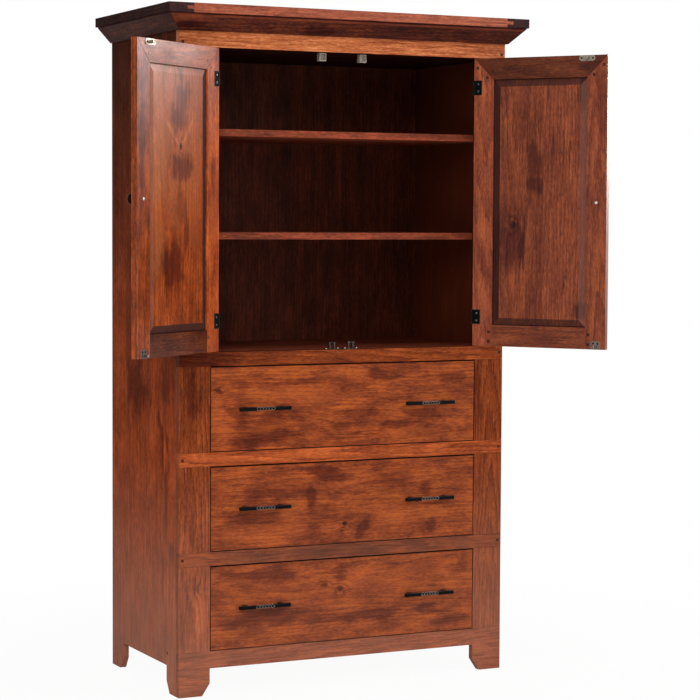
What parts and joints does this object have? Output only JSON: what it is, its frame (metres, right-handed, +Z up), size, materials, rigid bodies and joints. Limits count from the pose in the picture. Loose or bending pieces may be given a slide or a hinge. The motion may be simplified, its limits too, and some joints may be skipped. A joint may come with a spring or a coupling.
{
  "type": "tv armoire",
  "caption": "Tall rustic wooden armoire with two raised-panel doors over shelved bays, wide drawers with bar pulls below, a bevelled crown and a breadboard-end top.",
  "frame": {"origin": "on the floor, in the middle of the box round the cabinet as it stands with both doors open", "axes": "+X to the right along the front, -Y out of the front, +Z up"},
  "size_m": [1.4716, 0.9364, 1.996],
  "materials": {
    "top_wood": "satin varnish over red-brown stained planks",
    "end_wood": "dark stained ends, satin",
    "crown_wood": "near-black stain, satin",
    "frame_wood": "orange-brown stain with dark knots, satin",
    "side_wood": "red-brown stain, satin",
    "door_wood": "brown stain with a soft sheen",
    "drawer_wood": "orange-brown stain with strong grain",
    "inside_wood": "dark stained inside faces, dull",
    "box_wood": "plain sanded drawer boxes",
    "black_iron": "black wrought finish",
    "hinge_iron": "dark bronze plated steel",
    "catch_grey": "grey-brown moulded plastic",
    "strike_steel": "zinc plated stampings"
  },
  "bodies": {
    "case": {"side_panel_left": "side_wood", "side_panel_right": "side_wood", "back_panel": "inside_wood", "deck_panel": "inside_wood", "ceiling_panel": "inside_wood", "shelf_lower": "inside_wood", "shelf_upper": "inside_wood", "top_board": "top_wood", "breadboard_end_left": "end_wood", "breadboard_end_right": "end_wood", "crown_moulding_front": "crown_wood", "crown_moulding_left": "crown_wood", "crown_moulding_right": "crown_wood", "header_rail": "frame_wood", "rail_under_doors": "frame_wood", "drawer_rail_upper": "frame_wood", "drawer_rail_lower": "frame_wood", "base_apron": "frame_wood", "face_stile_left": "frame_wood", "face_stile_right": "frame_wood", "hinge_frame_leaf_left_upper": "hinge_iron", "hinge_frame_leaf_left_lower": "hinge_iron", "hinge_frame_leaf_right_upper": "hinge_iron", "hinge_frame_leaf_right_lower": "hinge_iron", "top_catch_left": "catch_grey", "top_catch_right": "catch_grey", "roller_catch_left": "strike_steel", "roller_catch_right": "strike_steel"},
    "door_left": {"door_left_hinge_stile": "door_wood", "door_left_free_stile": "door_wood", "door_left_top_rail": "door_wood", "door_left_bottom_rail": "door_wood", "door_left_panel": "door_wood", "door_knob_left": "black_iron", "hinge_door_leaf_left_upper": "hinge_iron", "hinge_door_leaf_left_lower": "hinge_iron", "top_strike_left": "strike_steel", "roller_strike_left": "strike_steel"},
    "door_right": {"door_right_hinge_stile": "door_wood", "door_right_free_stile": "door_wood", "door_right_top_rail": "door_wood", "door_right_bottom_rail": "door_wood", "door_right_panel": "door_wood", "door_knob_right": "black_iron", "hinge_door_leaf_right_upper": "hinge_iron", "hinge_door_leaf_right_lower": "hinge_iron", "top_strike_right": "strike_steel", "roller_strike_right": "strike_steel"},
    "drawer_top": {"drawer_front_top": "drawer_wood", "drawer_box_top": "box_wood", "drawer_pull_top_left": "black_iron", "drawer_pull_top_right": "black_iron"},
    "drawer_middle": {"drawer_front_middle": "drawer_wood", "drawer_box_middle": "box_wood", "drawer_pull_middle_left": "black_iron", "drawer_pull_middle_right": "black_iron"},
    "drawer_bottom": {"drawer_front_bottom": "drawer_wood", "drawer_box_bottom": "box_wood", "drawer_pull_bottom_left": "black_iron", "drawer_pull_bottom_right": "black_iron"}
  },
  "joints": [
    {"name": "door_left_hinge", "type": "hinge", "parent": "case", "child": "door_left", "pos_m": [-0.39188, -0.10111, 1.4395], "axis": [0, 0, -1], "range_deg": [-143.1, 26.9]},
    {"name": "door_right_hinge", "type": "hinge", "parent": "case", "child": "door_right", "pos_m": [0.47782, -0.10111, 1.4395], "axis": [0, 0, 1], "range_deg": [-125.7, 44.3]},
    {"name": "drawer_top_slide", "type": "slide", "parent": "case", "child": "drawer_top", "axis": [0, -1, 0], "range_m": [0, 0.38]},
    {"name": "drawer_middle_slide", "type": "slide", "parent": "case", "child": "drawer_middle", "axis": [0, -1, 0], "range_m": [0, 0.38]},
    {"name": "drawer_bottom_slide", "type": "slide", "parent": "case", "child": "drawer_bottom", "axis": [0, -1, 0], "range_m": [0, 0.38]}
  ]
}
